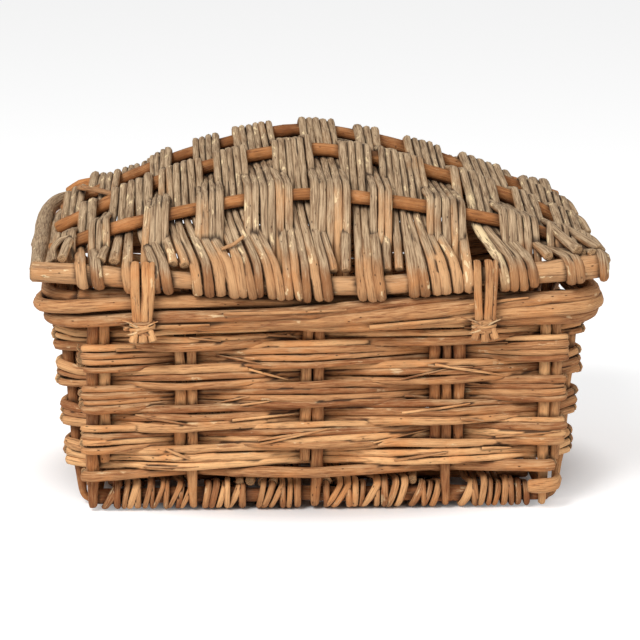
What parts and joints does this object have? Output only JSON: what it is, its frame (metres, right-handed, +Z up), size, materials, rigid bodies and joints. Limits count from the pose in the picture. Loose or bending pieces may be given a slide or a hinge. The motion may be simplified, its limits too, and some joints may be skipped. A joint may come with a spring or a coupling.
{
  "type": "wicker hamper",
  "caption": "Rectangular woven willow hamper with a domed woven lid that swings on two willow loops along one long side.",
  "frame": {"origin": "centre of the footprint, on the ground under the stakes", "axes": "+X along the hamper's length, +Z up, the hinged side faces -Y"},
  "size_m": [0.519, 0.41, 0.3325],
  "materials": {
    "base_willow": "matte",
    "stake_willow": "matte",
    "row_willow": "matte",
    "rim_willow": "matte",
    "loop_willow": "matte",
    "lid_rod_willow": "matte",
    "rib_willow": "matte",
    "lid_willow": "matte"
  },
  "bodies": {
    "basket": {"base_long_rods": "base_willow", "base_end_rods": "base_willow", "base_sticks": "base_willow", "base_weavers": "base_willow", "front_stakes": "stake_willow", "back_stakes": "stake_willow", "left_stakes": "stake_willow", "right_stakes": "stake_willow", "corner_stakes": "stake_willow", "weave_row_1": "row_willow", "weave_row_2": "row_willow", "weave_row_3": "row_willow", "weave_row_4": "row_willow", "weave_row_5": "row_willow", "weave_row_6": "row_willow", "weave_row_7": "row_willow", "weave_row_8": "row_willow", "front_rim": "rim_willow", "right_rim": "rim_willow", "back_rim": "rim_willow", "left_rim": "rim_willow", "left_hinge_loop": "loop_willow", "right_hinge_loop": "loop_willow", "left_hinge_tie": "loop_willow", "right_hinge_tie": "loop_willow"},
    "lid": {"lid_near_rod": "lid_rod_willow", "lid_far_rod": "lid_rod_willow", "lid_left_end_rods": "lid_rod_willow", "lid_right_end_rods": "lid_rod_willow", "lid_rib_1": "rib_willow", "lid_rib_2": "rib_willow", "lid_rib_3": "rib_willow", "lid_rib_4": "rib_willow", "lid_weavers_01": "lid_willow", "lid_weavers_02": "lid_willow", "lid_weavers_03": "lid_willow", "lid_weavers_04": "lid_willow", "lid_weavers_05": "lid_willow", "lid_weavers_06": "lid_willow", "lid_weavers_07": "lid_willow", "lid_weavers_08": "lid_willow", "lid_weavers_09": "lid_willow", "lid_weavers_10": "lid_willow", "lid_weavers_11": "lid_willow", "lid_weavers_12": "lid_willow", "lid_weavers_13": "lid_willow", "lid_weavers_14": "lid_willow", "lid_weavers_15": "lid_willow", "lid_weavers_16": "lid_willow", "lid_weavers_17": "lid_willow", "lid_weavers_18": "lid_willow", "lid_weavers_19": "lid_willow", "lid_weavers_20": "lid_willow"}
  },
  "joints": [
    {"name": "lid_hinge", "type": "hinge", "parent": "basket", "child": "lid", "pos_m": [0, -0.188, 0.222], "axis": [1, 0, 0], "range_deg": [0, 110]}
  ]
}
